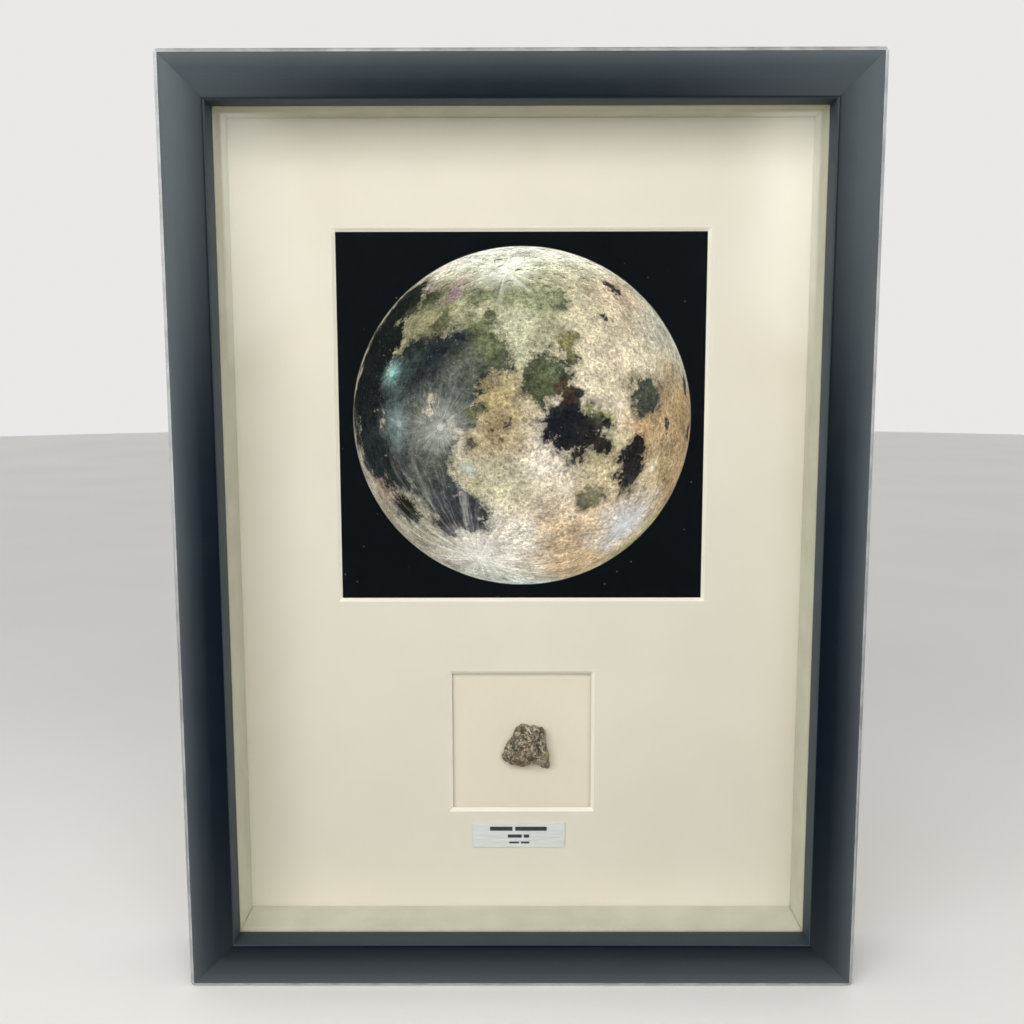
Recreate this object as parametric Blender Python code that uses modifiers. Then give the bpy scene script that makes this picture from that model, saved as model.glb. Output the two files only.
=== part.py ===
"""A small lunar meteorite fixed in a portrait shadow-box frame, with a picture of the Moon above it.

The display stands upright on its bottom edge with its front facing -Y. X runs across it and Z up. The origin is the
middle of its base. Lengths below are in millimetres, and MM turns them into Blender's metres.
"""

import math

import bmesh
import bpy
from mathutils import Matrix, Vector, noise

MM = 0.001

# Frame moulding: a deep L with a wide face and a thick lip in front of the pane
FRAME_WIDTH = 279.0
FRAME_HEIGHT = 379.0
FRAME_DEPTH = 48.0
FACE_WIDTH = 19.5
LIP_THICKNESS = 11.3
RABBET_WIDTH = 5.0
EDGE_CHAMFER = 1.5
FACE_FALL = 1.3  # how far the domed face drops from its crown to the silver edge
CROWN_FROM_EDGE = 14.5
INNER_ARRIS = 0.8
MITRE_GAP = 0.15

# What is stacked in the rabbet, from the pane to the back
GAP = 0.3
PANE_THICKNESS = 2.0
SPACER_DEPTH = 21.8
SPACER_THICKNESS = 4.4
MAT_THICKNESS = 1.4
PRINT_THICKNESS = 1.0
CARD_THICKNESS = 1.4
BACKING_THICKNESS = 3.0
TAB_THICKNESS = 0.4
STACK_WIDTH = FRAME_WIDTH - 2 * (FACE_WIDTH - RABBET_WIDTH) - 2 * GAP
STACK_HEIGHT = FRAME_HEIGHT - 2 * (FACE_WIDTH - RABBET_WIDTH) - 2 * GAP

# Windows and plate: sides of each, and centres measured from the middle of the frame
WINDOW_SHIFT = 0.4
MOON_WINDOW = 155.0
MOON_WINDOW_RISE = 47.5
PRINT_SIDE = 175.0
STONE_WINDOW = 61.0
STONE_WINDOW_RISE = -94.3
PLATE_WIDTH = 41.0
PLATE_HEIGHT = 11.2
PLATE_THICKNESS = 0.6
PLATE_SHIFT = -1.1
PLATE_RISE = -136.8

# Depth of each front face behind the front of the frame
PANE_DEPTH = LIP_THICKNESS + GAP
SPACER_FRONT = PANE_DEPTH + PANE_THICKNESS + GAP
MAT_DEPTH = SPACER_FRONT + SPACER_DEPTH + GAP
PRINT_DEPTH = MAT_DEPTH + MAT_THICKNESS + GAP
CARD_DEPTH = PRINT_DEPTH + PRINT_THICKNESS + GAP
BACKING_DEPTH = CARD_DEPTH + CARD_THICKNESS + GAP
TAB_DEPTH = BACKING_DEPTH + BACKING_THICKNESS + GAP

# Backing tabs and hanger
TAB_WIDTH = 8.0
TAB_LENGTH = 15.0
TAB_INSET = 70.0  # from the nearer corner of the frame to a tab's middle
HANGER_LENGTH = 46.0
HANGER_HEIGHT = 9.0
HANGER_METAL = 0.8
HANGER_STANDOFF = 1.8
HANGER_FOOT = 8.0
HANGER_WEB = 4.0
HANGER_FROM_TOP = 34.0
TOOTH_PITCH = 3.0
TOOTH_DEPTH = 1.6
TEETH = 7

# Meteorite: sizes from its own middle, right, up and out towards the viewer
STONE_SHIFT = 1.9
STONE_RISE = -96.2
STONE_FRONT = 6.5
STONE_BACK = 3.4
STONE_FLAT = 2.2  # the flat spot that is fixed to the card lies this far behind the outline
STONE_SQUARENESS = 0.74
STONE_BALL_SUBDIVISIONS = 5

# Corners of its outline from the front, clockwise from the taller hump on top
STONE_OUTLINE = (
    (-0.7, 9.8),
    (2.1, 8.7),
    (3.4, 9.1),
    (7.6, 8.3),
    (9.1, 6.2),
    (8.8, 4.6),
    (10.8, -7.4),
    (10.9, -10.0),
    (10.0, -11.1),
    (8.6, -11.0),
    (6.2, -8.1),
    (5.0, -7.5),
    (2.6, -7.7),
    (-0.5, -9.1),
    (-2.1, -9.0),
    (-8.2, -7.3),
    (-10.6, -5.5),
    (-10.4, -4.2),
    (-9.2, -2.8),
    (-9.2, -1.2),
    (-8.2, 0.1),
    (-8.0, 1.5),
    (-6.6, 2.2),
    (-4.0, 8.2),
    (-2.9, 9.3),
)

# Broken faces: (direction that the face looks in, a point on it), each as right, out, up
STONE_FACETS = (
    ((-0.05, 0.99, 0.12), (0.0, 5.7, 0.0)),
    ((0.50, 0.86, 0.05), (5.8, 4.7, 0.0)),
    ((0.00, 0.62, 0.78), (0.0, 3.6, 8.0)),
    ((-0.55, 0.75, -0.30), (-5.6, 4.2, -3.6)),
    ((0.05, 0.80, -0.60), (-1.5, 4.2, -6.0)),
    ((-0.72, 0.62, 0.30), (-4.6, 3.6, 4.8)),
    ((0.30, 0.80, -0.52), (9.0, 2.4, -7.4)),
    ((0.70, 0.55, 0.45), (7.6, 3.6, 6.2)),
)
FACET_FLATNESS = 0.86

# Rounded lobes and dents on the front: (right, up, half width, height)
STONE_LOBES = (
    (-8.4, -4.4, 1.7, 1.0),
    (-5.8, -5.2, 1.5, 0.5),
    (-7.6, 1.0, 1.3, 0.9),
    (-8.7, -1.7, 1.0, 0.6),
    (-1.2, 8.0, 1.5, 0.8),
    (7.0, 6.9, 1.7, 0.9),
    (9.4, -8.3, 1.4, 0.7),
    (8.6, -3.0, 1.5, 0.5),
    (2.5, 8.2, 1.1, -0.7),
    (-0.5, 4.7, 0.9, -0.7),
    (-2.7, 5.8, 0.9, -0.5),
    (-1.4, 3.4, 0.9, -0.4),
    (-6.1, 3.2, 0.9, -0.7),
    (0.7, -6.4, 1.0, -0.4),
    (2.6, 1.3, 1.4, 0.35),
    (-3.2, -5.0, 2.0, 0.45),
)

# Furrows on the front: (half width, depth, points along it as right, up)
STONE_FURROWS = (
    (0.95, 1.5, ((6.8, 5.6), (5.4, 2.6), (5.5, 0.4), (6.4, -2.2))),
    (0.90, 0.8, ((-6.1, 3.3), (-6.3, 0.4), (-4.2, -2.4))),
    (0.90, 0.6, ((-4.2, -2.4), (-1.0, -2.6), (1.6, -2.2), (3.0, -4.3))),
    (1.00, 0.9, ((2.9, -7.4), (3.3, -4.4))),
    (0.80, 0.5, ((0.9, 8.4), (2.8, 6.9), (3.9, 4.6))),
)
RELIEF_STARTS = 1.5  # lobes and furrows fade out over this height above the outline
EDGE_RELIEF = 0.35  # share of the relief that is left at the outline
ROUGHNESS_BANDS = ((3.2, 0.80), (1.6, 0.55))  # (size of the lumps, how far they stand)
ROUGHNESS_SEED = Vector((7.3, 2.1, 4.6))
WEAR = 0.35  # how far each point is drawn towards its neighbours, which rounds the broken edges


def clear_scene():
    for obj in list(bpy.data.objects):
        bpy.data.objects.remove(obj, do_unlink=True)


def new_collection(name):
    collection = bpy.data.collections.new(name)
    bpy.context.scene.collection.children.link(collection)
    return collection


def make_material(name, colour, roughness, metallic=0.0, transmission=0.0):
    material = bpy.data.materials.new(name)
    material.use_nodes = True
    shader = material.node_tree.nodes["Principled BSDF"]
    shader.inputs["Base Color"].default_value = (*colour, 1.0)
    shader.inputs["Roughness"].default_value = roughness
    shader.inputs["Metallic"].default_value = metallic
    shader.inputs["Transmission Weight"].default_value = transmission
    return material


def place_point(across, depth, rise):
    """A point from its distance right of the middle, behind the frame's front, and above the frame's middle."""
    return Vector((across, depth - FRAME_DEPTH / 2, rise + FRAME_HEIGHT / 2)) * MM


def add_object(name, mesh, collection, material):
    obj = bpy.data.objects.new(name, mesh)
    collection.objects.link(obj)
    obj.data.materials.append(material)
    return obj


def add_board(name, width, height, thickness, depth, material, across=0.0, rise=0.0, arris=0.0):
    """A flat upright board whose front face lies at the given depth. arris rounds its edges."""
    bm = bmesh.new()
    bmesh.ops.create_cube(bm, size=1.0)
    bmesh.ops.scale(bm, vec=Vector((width, thickness, height)) * MM, verts=bm.verts)
    mesh = bpy.data.meshes.new(name)
    bm.to_mesh(mesh)
    bm.free()
    board = add_object(name, mesh, parts, material)
    board.location = place_point(across, depth + thickness / 2, rise)
    if arris:
        rounding = board.modifiers.new("arris", "BEVEL")
        rounding.width = arris * MM
        rounding.segments = 2
    return board


def flat_outline_mesh(name, points, thickness):
    """A closed outline in its own XY plane, in millimetres, made a plate of the given thickness."""
    curve = bpy.data.curves.new(name, "CURVE")
    curve.dimensions = "2D"
    curve.fill_mode = "BOTH"
    curve.extrude = thickness / 2 * MM
    spline = curve.splines.new("POLY")
    spline.use_cyclic_u = True
    spline.points.add(len(points) - 1)
    for target, (x, y) in zip(spline.points, points):
        target.co = (x * MM, y * MM, 0.0, 1.0)
    guide = bpy.data.objects.new(name + " guide", curve)
    bpy.context.scene.collection.objects.link(guide)
    graph = bpy.context.evaluated_depsgraph_get()
    mesh = bpy.data.meshes.new_from_object(guide.evaluated_get(graph))
    bpy.data.objects.remove(guide, do_unlink=True)
    bm = bmesh.new()
    bm.from_mesh(mesh)
    bmesh.ops.remove_doubles(bm, verts=bm.verts, dist=0.000001)
    bmesh.ops.recalc_face_normals(bm, faces=bm.faces)
    bm.to_mesh(mesh)
    bm.free()
    mesh.name = name
    return mesh


def cut_with(obj, cutter, name):
    cutter.hide_render = True
    cutter.display_type = "WIRE"
    cut = obj.modifiers.new(name, "BOOLEAN")
    cut.operation = "DIFFERENCE"
    cut.solver = "EXACT"
    cut.object = cutter


def face_fall_at(inward):
    """How far the domed face lies behind its crown at a distance in from the outer edge."""
    span = CROWN_FROM_EDGE - EDGE_CHAMFER if inward < CROWN_FROM_EDGE else FACE_WIDTH
    return FACE_FALL * ((CROWN_FROM_EDGE - inward) / span) ** 2


def moulding_profile():
    """The moulding's section as (distance in from the outer edge, depth), from the outer back corner round."""
    edge = face_fall_at(EDGE_CHAMFER)
    points = [(0.0, FRAME_DEPTH), (0.0, edge + EDGE_CHAMFER)]
    steps = 9
    last = FACE_WIDTH - INNER_ARRIS
    for step in range(steps + 1):
        inward = EDGE_CHAMFER + (last - EDGE_CHAMFER) * step / steps
        points.append((inward, face_fall_at(inward)))
    front = face_fall_at(last)
    for step in range(1, 4):
        turn = math.radians(90.0 * step / 3)
        inward = last + INNER_ARRIS * math.sin(turn)
        points.append((inward, front + INNER_ARRIS * (1.0 - math.cos(turn))))
    rabbet = FACE_WIDTH - RABBET_WIDTH
    points += [(FACE_WIDTH, LIP_THICKNESS), (rabbet, LIP_THICKNESS), (rabbet, FRAME_DEPTH)]
    return points


def add_rail(name, length, across, rise, turn):
    """A length of moulding with both ends sawn at 45 degrees, turned about Y to its side of the frame."""
    # The plate's own X is the way in from the outer edge, its Y the depth, and it is as thick as the rail is long.
    mesh = flat_outline_mesh(name, moulding_profile(), length)
    bm = bmesh.new()
    bm.from_mesh(mesh)
    for end in (1.0, -1.0):
        corner = Vector((0.0, 0.0, end * (length - MITRE_GAP * math.sqrt(2.0)) / 2 * MM))
        saw = Vector((1.0, 0.0, end)).normalized()
        everything = bm.verts[:] + bm.edges[:] + bm.faces[:]
        cut = bmesh.ops.bisect_plane(
            bm, geom=everything, dist=0.0000001, plane_co=corner, plane_no=saw, clear_outer=True
        )
        rim = [item for item in cut["geom_cut"] if isinstance(item, bmesh.types.BMEdge)]
        bmesh.ops.holes_fill(bm, edges=rim, sides=0)
    # Stand the length as a bottom rail: in from the edge is up, and the rail runs along X.
    upright = Matrix(((0, 0, 1, 0), (0, 1, 0, -FRAME_DEPTH / 2 * MM), (1, 0, 0, 0), (0, 0, 0, 1)))
    bmesh.ops.transform(bm, matrix=upright, verts=bm.verts)
    bmesh.ops.recalc_face_normals(bm, faces=bm.faces)
    bm.to_mesh(mesh)
    bm.free()
    mesh.shade_smooth()
    mesh.set_sharp_from_angle(angle=math.radians(25.0))
    rail = add_object(name, mesh, parts, lacquer)
    rail.rotation_euler = (0.0, math.radians(turn), 0.0)
    rail.location = Vector((across, 0.0, rise)) * MM
    return rail


def add_frame():
    half_height = FRAME_HEIGHT / 2
    add_rail("frame_rail_bottom", FRAME_WIDTH, 0.0, 0.0, 0.0)
    add_rail("frame_rail_top", FRAME_WIDTH, 0.0, FRAME_HEIGHT, 180.0)
    add_rail("frame_rail_left", FRAME_HEIGHT, -FRAME_WIDTH / 2, half_height, 90.0)
    add_rail("frame_rail_right", FRAME_HEIGHT, FRAME_WIDTH / 2, half_height, -90.0)


def add_spacers():
    """Foam board strips on edge round the rabbet. The side strips run the full height between pane and mat."""
    side = (STACK_WIDTH - SPACER_THICKNESS) / 2
    end = (STACK_HEIGHT - SPACER_THICKNESS) / 2
    short = STACK_WIDTH - 2 * SPACER_THICKNESS - 2 * GAP
    for name, across in (("spacer_left", -side), ("spacer_right", side)):
        add_board(name, SPACER_THICKNESS, STACK_HEIGHT, SPACER_DEPTH, SPACER_FRONT, foam_board, across)
    for name, rise in (("spacer_bottom", -end), ("spacer_top", end)):
        add_board(name, short, SPACER_THICKNESS, SPACER_DEPTH, SPACER_FRONT, foam_board, 0.0, rise)


def window_cutter(name, side, rise):
    """A square wedge that cuts a window whose edges slope in at 45 degrees to the given side at the mat's back."""
    overrun = 1.0
    half_front = side / 2 + MAT_THICKNESS + overrun
    half_back = side / 2 - overrun
    bm = bmesh.new()
    bmesh.ops.create_cone(
        bm,
        cap_ends=True,
        segments=4,
        radius1=half_back * math.sqrt(2.0) * MM,
        radius2=half_front * math.sqrt(2.0) * MM,
        depth=(MAT_THICKNESS + 2 * overrun) * MM,
    )
    bmesh.ops.rotate(bm, matrix=Matrix.Rotation(math.radians(45.0), 3, "Z"), verts=bm.verts)
    bmesh.ops.rotate(bm, matrix=Matrix.Rotation(math.radians(90.0), 3, "X"), verts=bm.verts)
    mesh = bpy.data.meshes.new(name)
    bm.to_mesh(mesh)
    bm.free()
    cutter = bpy.data.objects.new(name, mesh)
    cutters.objects.link(cutter)
    cutter.location = place_point(WINDOW_SHIFT, MAT_DEPTH + MAT_THICKNESS / 2, rise)
    return cutter


def add_mat():
    mat = add_board("mat_board", STACK_WIDTH, STACK_HEIGHT, MAT_THICKNESS, MAT_DEPTH, mat_paper)
    cut_with(mat, window_cutter("moon window", MOON_WINDOW, MOON_WINDOW_RISE), "moon window")
    cut_with(mat, window_cutter("stone window", STONE_WINDOW, STONE_WINDOW_RISE), "stone window")


def add_tabs():
    """Round-ended flat steel tabs, out of the rabbet's wall and over the backing board."""
    half = TAB_WIDTH / 2
    outline = [(-half, 0.0), (half, 0.0)]
    for step in range(9):
        turn = math.pi * step / 8
        outline.append((half * math.cos(turn), TAB_LENGTH - half + half * math.sin(turn)))
    side = STACK_WIDTH / 2
    end = STACK_HEIGHT / 2
    along_side = FRAME_HEIGHT / 2 - TAB_INSET
    along_end = FRAME_WIDTH / 2 - TAB_INSET
    places = (
        (-side, -along_side, -90.0),
        (-side, along_side, -90.0),
        (side, -along_side, 90.0),
        (side, along_side, 90.0),
        (-along_end, -end, 0.0),
        (along_end, -end, 0.0),
        (-along_end, end, 180.0),
        (along_end, end, 180.0),
    )
    plate = flat_outline_mesh("backing tab", outline, TAB_THICKNESS)
    plate.transform(Matrix.Rotation(math.radians(90.0), 4, "X"))
    for number, (across, rise, turn) in enumerate(places, start=1):
        tab = add_object(f"backing_tab_{number}", plate.copy(), parts, spring_steel)
        tab.rotation_euler = (0.0, math.radians(-turn), 0.0)
        tab.location = place_point(across, TAB_DEPTH + TAB_THICKNESS / 2, rise)


def add_hanger():
    """A bent steel strip on the backing board: two flat feet, a raised bar, and saw teeth along its lower edge."""
    half = HANGER_LENGTH / 2
    foot = half - HANGER_FOOT
    bar = foot - HANGER_WEB
    low, high, metal = 0.0, HANGER_STANDOFF, HANGER_METAL
    back = [(-half, low), (-foot, low), (-bar, high), (bar, high), (foot, low), (half, low)]
    outer = [(x, y + metal) for x, y in reversed(back)]
    mesh = flat_outline_mesh("sawtooth_hanger", back + outer, HANGER_HEIGHT)
    hanger = add_object("sawtooth_hanger", mesh, parts, zinc_steel)
    hanger.location = place_point(0.0, BACKING_DEPTH + BACKING_THICKNESS + GAP, FRAME_HEIGHT / 2 - HANGER_FROM_TOP)

    width = TEETH * TOOTH_PITCH
    foot_of_teeth = -HANGER_HEIGHT / 2 - 1.0
    zigzag = [(-width / 2, foot_of_teeth)]
    for tooth in range(TEETH):
        start = -width / 2 + tooth * TOOTH_PITCH
        zigzag.append((start + 0.1, -HANGER_HEIGHT / 2))
        zigzag.append((start + TOOTH_PITCH / 2, -HANGER_HEIGHT / 2 + TOOTH_DEPTH))
        zigzag.append((start + TOOTH_PITCH - 0.1, -HANGER_HEIGHT / 2))
    zigzag.append((width / 2, foot_of_teeth))
    file_mesh = flat_outline_mesh("tooth file", zigzag, 4 * HANGER_STANDOFF)
    file_mesh.transform(Matrix.Rotation(math.radians(90.0), 4, "X"))
    tooth_file = bpy.data.objects.new("tooth file", file_mesh)
    cutters.objects.link(tooth_file)
    tooth_file.location = hanger.location + Vector((0.0, (HANGER_STANDOFF + HANGER_METAL / 2) * MM, 0.0))
    cut_with(hanger, tooth_file, "teeth")


def outline_reach(turn):
    """The outline's distance from the stone's middle in the direction of a turn, in radians."""
    ray = Vector((math.cos(turn), math.sin(turn)))
    corners = [Vector(corner) for corner in STONE_OUTLINE]
    for start, end in zip(corners, corners[1:] + corners[:1]):
        if start.cross(ray) <= 0.0 <= end.cross(ray):
            side = end - start
            return start.cross(side) / ray.cross(side)
    return corners[0].length


def distance_to_path(right, up, path):
    nearest = math.inf
    for (x0, z0), (x1, z1) in zip(path, path[1:]):
        along = Vector((x1 - x0, z1 - z0))
        share = Vector((right - x0, up - z0)).dot(along) / along.length_squared
        share = min(1.0, max(0.0, share))
        nearest = min(nearest, math.hypot(right - x0 - share * along.x, up - z0 - share * along.y))
    return nearest


def stone_relief(right, out, up):
    """How far the surface stands above the plain body at a point, in millimetres."""
    relief = 0.0
    if out > 0.0:
        for lobe_right, lobe_up, half_width, height in STONE_LOBES:
            spread = ((right - lobe_right) ** 2 + (up - lobe_up) ** 2) / half_width**2
            relief += height * math.exp(-spread)
        furrow = 0.0
        for half_width, depth, path in STONE_FURROWS:
            across = distance_to_path(right, up, path) / half_width
            furrow = max(furrow, depth * math.exp(-(across**2)))
        relief = (relief - furrow) * min(1.0, out / RELIEF_STARTS)
    for size, height in ROUGHNESS_BANDS:
        place = Vector((right, out, up)) / size + ROUGHNESS_SEED
        relief += height * noise.noise(place)
    return relief


def stone_point(ball_point):
    """Where a point of the unit ball goes on the meteorite, as right, out, up in millimetres."""
    turn = math.atan2(ball_point.z, ball_point.x)
    tilt = math.asin(max(-1.0, min(1.0, -ball_point.y)))
    spread = math.cos(tilt) ** STONE_SQUARENESS
    rise = abs(math.sin(tilt)) ** STONE_SQUARENESS
    reach = outline_reach(turn) * spread
    out = rise * STONE_FRONT if tilt > 0 else -rise * STONE_BACK
    point = Vector((reach * math.cos(turn), out, reach * math.sin(turn)))
    for direction, on_face in STONE_FACETS:
        normal = Vector(direction).normalized()
        face_reach = normal.dot(Vector(on_face))
        point_reach = normal.dot(point)
        if point_reach > face_reach:
            point *= 1.0 - FACET_FLATNESS * (1.0 - face_reach / point_reach)
    outwards = Vector((ball_point.x / 2, -ball_point.y, ball_point.z / 2)).normalized()
    share = EDGE_RELIEF + (1.0 - EDGE_RELIEF) * math.sqrt(max(0.0, 1.0 - spread))
    point += outwards * stone_relief(*point) * share
    point.y = max(point.y, -STONE_FLAT)
    return point


def add_meteorite():
    bm = bmesh.new()
    bmesh.ops.create_icosphere(bm, subdivisions=STONE_BALL_SUBDIVISIONS, radius=1.0)
    for vert in bm.verts:
        right, out, up = stone_point(vert.co)
        vert.co = Vector((right, -out, up)) * MM
    bmesh.ops.smooth_vert(bm, verts=bm.verts, factor=WEAR, use_axis_x=True, use_axis_y=True, use_axis_z=True)
    bmesh.ops.recalc_face_normals(bm, faces=bm.faces)
    mesh = bpy.data.meshes.new("meteorite")
    bm.to_mesh(mesh)
    bm.free()
    mesh.shade_smooth()
    mesh.set_sharp_from_angle(angle=math.radians(40.0))
    stone = add_object("meteorite", mesh, parts, breccia)
    stone.location = place_point(STONE_SHIFT, CARD_DEPTH - GAP - STONE_FLAT, STONE_RISE)


clear_scene()
parts = new_collection("Framed lunar meteorite")
cutters = new_collection("Cutters")

lacquer = make_material("charcoal lacquer", (0.055, 0.065, 0.075), 0.35)
clear_pane = make_material("clear pane", (0.95, 0.97, 0.96), 0.02, transmission=1.0)
foam_board = make_material("cream foam board", (0.62, 0.60, 0.48), 0.85)
mat_paper = make_material("cream mat board", (0.70, 0.67, 0.55), 0.88)
photo_paper = make_material("photo print", (0.10, 0.10, 0.09), 0.45)
breccia = make_material("meteorite breccia", (0.20, 0.18, 0.14), 0.80)
brushed_plate = make_material("brushed aluminium", (0.62, 0.66, 0.66), 0.38, metallic=1.0)
fibre_board = make_material("fibre board", (0.28, 0.19, 0.11), 0.85)
spring_steel = make_material("spring steel", (0.42, 0.43, 0.44), 0.40, metallic=1.0)
zinc_steel = make_material("zinc-plated steel", (0.60, 0.61, 0.62), 0.32, metallic=1.0)

add_frame()
add_board("glazing", STACK_WIDTH, STACK_HEIGHT, PANE_THICKNESS, PANE_DEPTH, clear_pane, arris=0.2)
add_spacers()
add_mat()
add_board(
    "moon_print",
    PRINT_SIDE,
    PRINT_SIDE,
    PRINT_THICKNESS,
    PRINT_DEPTH,
    photo_paper,
    WINDOW_SHIFT,
    MOON_WINDOW_RISE,
)
add_board("mount_card", STACK_WIDTH, STACK_HEIGHT, CARD_THICKNESS, CARD_DEPTH, mat_paper)
add_board(
    "label_plate",
    PLATE_WIDTH,
    PLATE_HEIGHT,
    PLATE_THICKNESS,
    MAT_DEPTH - GAP - PLATE_THICKNESS,
    brushed_plate,
    PLATE_SHIFT,
    PLATE_RISE,
    arris=0.15,
)
add_board("backing_board", STACK_WIDTH, STACK_HEIGHT, BACKING_THICKNESS, BACKING_DEPTH, fibre_board, arris=0.3)
add_tabs()
add_hanger()
add_meteorite()
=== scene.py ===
"""Looks for a small lunar meteorite in a portrait shadow-box frame, below a print of the full Moon.

The frame stands on its bottom edge and faces -Y. Lengths are in metres, unless a name or a comment says
millimetres.
"""

import math

import bmesh
import bpy
from mathutils import Matrix, Vector, noise


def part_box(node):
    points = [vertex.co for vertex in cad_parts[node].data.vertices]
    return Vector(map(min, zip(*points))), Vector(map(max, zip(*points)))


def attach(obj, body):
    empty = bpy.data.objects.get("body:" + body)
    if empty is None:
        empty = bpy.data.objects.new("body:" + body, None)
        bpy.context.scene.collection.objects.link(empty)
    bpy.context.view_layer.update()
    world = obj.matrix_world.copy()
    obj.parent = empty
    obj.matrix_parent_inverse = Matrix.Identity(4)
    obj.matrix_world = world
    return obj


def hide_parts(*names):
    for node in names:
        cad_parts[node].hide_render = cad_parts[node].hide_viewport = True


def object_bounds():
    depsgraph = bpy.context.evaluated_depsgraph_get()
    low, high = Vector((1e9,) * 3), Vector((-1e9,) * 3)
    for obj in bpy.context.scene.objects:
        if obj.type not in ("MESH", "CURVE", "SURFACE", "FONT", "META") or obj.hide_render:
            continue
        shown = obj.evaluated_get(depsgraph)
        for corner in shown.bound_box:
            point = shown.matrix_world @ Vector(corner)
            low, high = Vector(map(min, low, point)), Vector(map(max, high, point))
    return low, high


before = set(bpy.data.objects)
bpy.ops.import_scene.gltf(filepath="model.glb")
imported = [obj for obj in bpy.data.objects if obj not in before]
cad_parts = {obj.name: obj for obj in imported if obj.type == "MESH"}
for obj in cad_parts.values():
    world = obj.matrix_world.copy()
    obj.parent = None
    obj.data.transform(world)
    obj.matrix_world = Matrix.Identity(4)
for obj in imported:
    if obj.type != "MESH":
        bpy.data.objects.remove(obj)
cad_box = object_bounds()

MM = 0.001
LOW, HIGH = cad_box
HALF_WIDTH = (HIGH.x - LOW.x) / 2
HALF_HEIGHT = (HIGH.z - LOW.z) / 2
FRONT = LOW.y
BACK = HIGH.y

# Moulding, as in the solids
FACE_WIDTH = 19.5 * MM
RABBET_WIDTH = 5.0 * MM
LIP_THICKNESS = 11.3 * MM
SILVER_EDGE = 1.5 * MM
FACE_FALL = 1.3 * MM
CROWN_FROM_EDGE = 14.5 * MM
INNER_ARRIS = 0.8 * MM
BACK_ARRIS = 0.5 * MM
CORNER_RADIUS = 1.4 * MM
MITRE_GAP = 0.04 * MM
SHARP_ARRIS_DEGREES = 38.0
# Places of the rings of points along a rail, close together at its ends, where the corner is rounded
RING_PLACES_MM = (0.0, 0.2, 0.45, 0.75, 1.1, 1.6, 2.4, 4.0, 8.0, 20.0, 60.0)
PANE_SEAM = 0.3 * MM

# Lacquer
FADE_WANDER = 1.0 * MM
SILVER_REACH = 1.15 * SILVER_EDGE
LIP_EDGE = 0.3 * MM
PINE_DULLNESS = (0.75, 0.75, 0.75, 1.0)

# Picture of the Moon, from the middle of the frame, with its view in degrees
MOON_ACROSS = 0.6 * MM
MOON_RISE = 47.5 * MM
MOON_RADIUS = 71.6 * MM
MOON_VIEW_LATITUDE = 14.4
MOON_VIEW_LONGITUDE = 9.5
SHADOW_SHIFT = 0.09
PATCH_BLEND = 0.12

# Camera, fitted to the straight edges of the frame, with its turns in degrees
CAMERA_PLACE = Vector((-2.12, -472.62, 261.18)) * MM
CAMERA_TILT = 7.535
CAMERA_YAW = -0.187
CAMERA_ROLL = -0.095
CAMERA_FOCAL_PIXELS = 1141.2
PICTURE_PIXELS = 1024
SENSOR_WIDTH_MM = 36.0
NEAREST_SEEN = 0.01

# Studio
FLOOR_RADIUS = 4.0
FLOOR_DROP = 0.2 * MM
BACKDROP_BRIGHTNESS = 0.82
WALL_BRIGHTNESS = 0.75
WINDOW_BRIGHTNESS = 2.7
RIGHT_SIDE_SHARE = 0.85
TABLE_BRIGHTNESS = 0.85
CORNER_BRIGHTNESS = 1.6
SOFTBOX_SIZE = (0.8, 0.42)
SOFTBOX_WATTS = 4.0
SOFTBOX_PLACE = Vector((-0.09, -0.54, 0.445))
SOFTBOX_AIM = Vector((0.0, 0.0, 0.28))

# Edges of the room's bright places: direction, where it is dim, where it is bright. A direction says how far
# a look from the frame goes up or to the side, from -1 to 1.
WINDOW_EDGES = (("up", -0.06, 0.15), ("up", 0.42, 0.27), ("aside", 0.15, 0.27), ("aside", 0.65, 0.48))
CORNER_EDGES = (("up", 0.22, 0.42), ("up", 0.85, 0.6), ("aside", 0.12, 0.34))

# Settings that many nodes share
ABSOLUTE = {"operation": "ABSOLUTE"}
ADD = {"operation": "ADD"}
GREATER_THAN = {"operation": "GREATER_THAN"}
MAXIMUM = {"operation": "MAXIMUM"}
MULTIPLY = {"operation": "MULTIPLY"}
SCALE = {"operation": "SCALE"}
SUBTRACT = {"operation": "SUBTRACT"}
SMOOTH = {"interpolation_type": "SMOOTHSTEP"}
NOISE_MIDDLE = (0.5, 0.5, 0.5)


def colour(hex_code):
    """A linear colour with full alpha from an sRGB hex value."""
    channels = []
    for start in (1, 3, 5):
        value = int(hex_code[start : start + 2], 16) / 255
        channels.append(value / 12.92 if value <= 0.04045 else ((value + 0.055) / 1.055) ** 2.4)
    return (*channels, 1.0)


def per_mm(size_mm):
    """The pattern scale whose cells are this many millimetres wide."""
    return 1.0 / (size_mm * MM)


def add(tree, kind, links=None, settings=None):
    """Adds a node. Stops are a ramp's (place, hex colour) pairs."""
    node = tree.nodes.new("ShaderNode" + kind)
    for name, value in (settings or {}).items():
        if name == "stops":
            ramp = node.color_ramp
            for place, hex_code in value[1:-1]:
                ramp.elements.new(place).color = colour(hex_code)
            for end in (0, -1):
                ramp.elements[end].position = value[end][0]
                ramp.elements[end].color = colour(value[end][1])
        else:
            setattr(node, name, value)
    connect(tree, node, links or {})
    return node


def connect(tree, node, links):
    """Gives inputs, by name or in order, a value, a hex colour, a node's first output or a (node, output)."""
    for name, value in links.items() if isinstance(links, dict) else enumerate(links):
        if isinstance(value, bpy.types.Node):
            tree.links.new(value.outputs[0], node.inputs[name])
        elif isinstance(value, tuple) and isinstance(value[0], bpy.types.Node):
            tree.links.new(value[0].outputs[value[1]], node.inputs[name])
        else:
            node.inputs[name].default_value = colour(value) if isinstance(value, str) else value


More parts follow.
